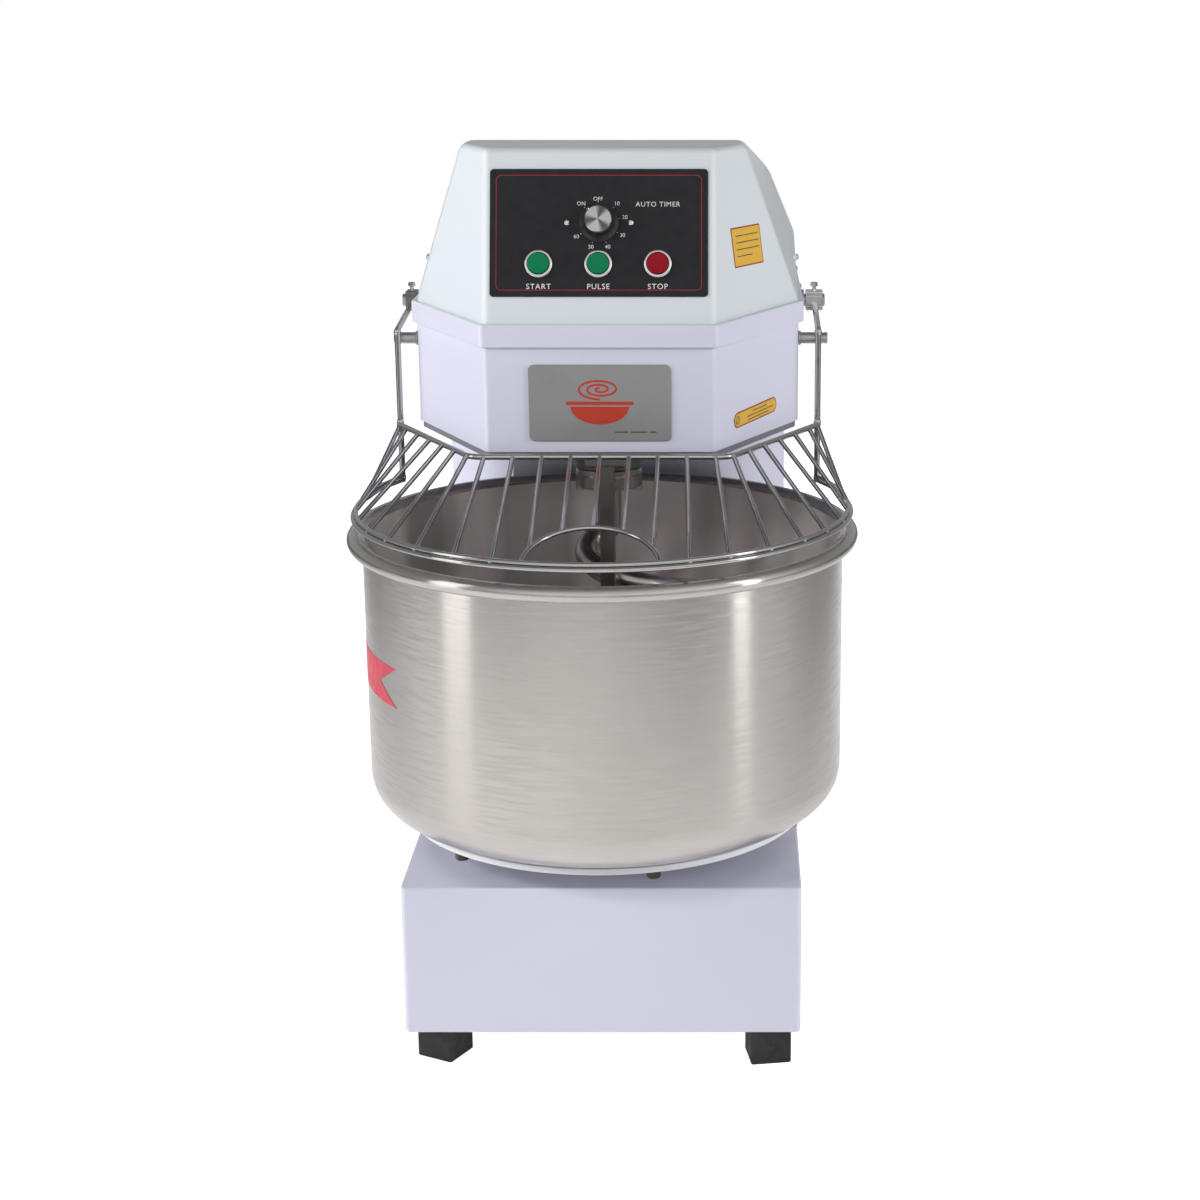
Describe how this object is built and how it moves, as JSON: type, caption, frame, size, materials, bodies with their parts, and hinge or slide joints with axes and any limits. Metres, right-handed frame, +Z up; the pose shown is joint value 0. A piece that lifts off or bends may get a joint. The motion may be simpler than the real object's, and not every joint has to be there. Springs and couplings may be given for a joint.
{
  "type": "spiral dough mixer",
  "caption": "Floor-standing spiral dough mixer: bowl on a turntable, spiral hook and breaker bar under a head, wire guard, sloping control panel.",
  "frame": {"origin": "on the floor, in the middle of the machine's box", "axes": "+Z up, -Y towards the front with the control panel, +X to the right seen from the front"},
  "size_m": [0.536, 0.836, 0.9405],
  "materials": {
    "white_paint": "semi-gloss powder coat",
    "cover_white": "semi-gloss powder coat",
    "gray_paint": "satin",
    "panel_black": "satin film",
    "plate_silver": "satin",
    "green": "gloss",
    "red": "gloss",
    "chrome": "polished",
    "stainless": "brushed",
    "dark_steel": "satin",
    "bolt_steel": "zinc plated",
    "rubber": "matte",
    "machined": "machined",
    "motor_blue": "satin",
    "black_plastic": "satin"
  },
  "bodies": {
    "frame": {"base_casing": "white_paint", "base_floor_plate": "gray_paint", "foot_front_left": "rubber", "foot_front_right": "rubber", "foot_rear_left": "rubber", "foot_rear_right": "rubber", "column_casing": "white_paint", "rear_cover": "white_paint", "cable_gland": "black_plastic", "head_shell": "white_paint", "head_bottom_plate": "gray_paint", "nameplate": "plate_silver", "top_cover": "cover_white", "control_panel": "panel_black", "start_bezel": "chrome", "pulse_bezel": "chrome", "stop_bezel": "chrome", "timer_body": "gray_paint", "breaker_bar": "dark_steel", "spindle_housing": "dark_steel", "bowl_bearing_housing": "machined", "rest_pin_left": "gray_paint", "rest_pin_right": "gray_paint", "pivot_bush_left": "machined", "pivot_bush_right": "machined", "motor_housing": "motor_blue", "motor_bracket": "gray_paint", "spindle_belt": "rubber", "countershaft_belt": "rubber", "bowl_chain": "dark_steel", "countershaft_bearing": "machined", "contactor": "black_plastic", "guard_microswitch": "black_plastic"},
    "bowl": {"bowl": "stainless", "turntable": "white_paint", "bowl_shaft": "machined", "bowl_sprocket": "dark_steel", "turntable_bolt_1": "bolt_steel", "turntable_bolt_2": "bolt_steel", "turntable_bolt_3": "bolt_steel", "turntable_bolt_4": "bolt_steel", "turntable_bolt_5": "bolt_steel", "turntable_bolt_6": "bolt_steel"},
    "spiral": {"spiral_hook": "stainless", "spindle_shaft": "dark_steel", "spindle_pulley": "machined"},
    "countershaft": {"countershaft": "machined", "countershaft_pulley": "machined"},
    "motor_rotor": {"motor_shaft": "machined", "motor_pulley_upper": "machined", "motor_pulley_lower": "machined"},
    "guard": {"guard_cage": "stainless", "guard_clamp_left": "gray_paint", "guard_clamp_right": "gray_paint", "guard_pivot_shaft": "machined"},
    "timer_knob": {"timer_knob": "black_plastic"},
    "start_button": {"start_button": "green"},
    "pulse_button": {"pulse_button": "green"},
    "stop_button": {"stop_button": "red"}
  },
  "joints": [
    {"name": "bowl_spin", "type": "hinge", "parent": "frame", "child": "bowl", "pos_m": [0, -0.15, 0.25], "axis": [0, 0, 1], "continuous": true},
    {"name": "spiral_spin", "type": "hinge", "parent": "frame", "child": "spiral", "pos_m": [0, -0.025, 0.6], "axis": [0, 0, 1], "continuous": true},
    {"name": "countershaft_spin", "type": "hinge", "parent": "frame", "child": "countershaft", "pos_m": [0, 0.12, 0.1], "axis": [0, 0, 1], "continuous": true},
    {"name": "motor_spin", "type": "hinge", "parent": "frame", "child": "motor_rotor", "pos_m": [0, 0.27, 0.4], "axis": [0, 0, 1], "continuous": true},
    {"name": "guard_hinge", "type": "hinge", "parent": "frame", "child": "guard", "pos_m": [0, 0.115, 0.751], "axis": [-1, 0, 0], "range_deg": [0, 70]},
    {"name": "timer_turn", "type": "hinge", "parent": "frame", "child": "timer_knob", "pos_m": [0, -0.15176, 0.86655], "axis": [0, 0.9504, -0.311], "range_deg": [0, 282]},
    {"name": "start_push", "type": "slide", "parent": "frame", "child": "start_button", "axis": [0, 0.9504, -0.311], "range_m": [0, 0.003], "stiffness_N_per_m": 300},
    {"name": "pulse_push", "type": "slide", "parent": "frame", "child": "pulse_button", "axis": [0, 0.9504, -0.311], "range_m": [0, 0.003], "stiffness_N_per_m": 300},
    {"name": "stop_push", "type": "slide", "parent": "frame", "child": "stop_button", "axis": [0, 0.9504, -0.311], "range_m": [0, 0.003], "stiffness_N_per_m": 300}
  ],
  "couplings": [
    {"joint": "spiral_spin", "follows": "bowl_spin", "ratio": 5.5},
    {"joint": "countershaft_spin", "follows": "bowl_spin", "ratio": 5},
    {"joint": "motor_spin", "follows": "bowl_spin", "ratio": 22}
  ]
}
